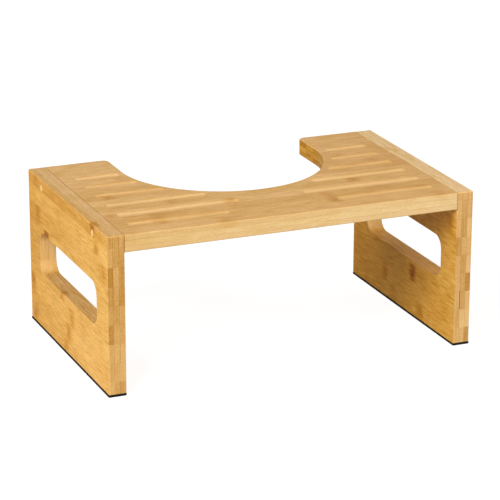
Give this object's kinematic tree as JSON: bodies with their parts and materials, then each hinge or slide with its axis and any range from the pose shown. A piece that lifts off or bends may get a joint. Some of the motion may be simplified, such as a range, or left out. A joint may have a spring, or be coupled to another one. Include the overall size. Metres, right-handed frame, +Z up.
{
  "type": "toilet footstool",
  "caption": "Low bamboo footstool with a round notch at the back, grooved foot rests, slotted side panels and anti-slip strips.",
  "frame": {"origin": "on the floor, under the middle of the stool's bounding box", "axes": "+X along the seat board from the left panel to the right one, +Y from the straight front edge to the notched rear edge, +Z up"},
  "size_m": [0.4412, 0.2742, 0.1845],
  "materials": {
    "bamboo_board": "pale laminated bamboo under a thin satin lacquer",
    "bamboo_panel": "honey-coloured laminated bamboo under a thin satin lacquer",
    "bamboo_plug": "pale bamboo, sanded flush and lacquered",
    "beech_dowel": "raw beech",
    "zinc_screw": "bright zinc-plated steel",
    "black_pad": "matt black anti-slip foam rubber"
  },
  "bodies": {
    "root": {"seat_board": "bamboo_board", "left_side_panel": "bamboo_panel", "right_side_panel": "bamboo_panel", "left_anti_slip_pad": "black_pad", "right_anti_slip_pad": "black_pad", "left_front_screw": "zinc_screw", "left_rear_screw": "zinc_screw", "right_front_screw": "zinc_screw", "right_rear_screw": "zinc_screw", "left_front_plug": "bamboo_plug", "left_rear_plug": "bamboo_plug", "right_front_plug": "bamboo_plug", "right_rear_plug": "bamboo_plug", "left_front_dowel": "beech_dowel", "left_rear_dowel": "beech_dowel", "right_front_dowel": "beech_dowel", "right_rear_dowel": "beech_dowel"}
  },
  "joints": []
}
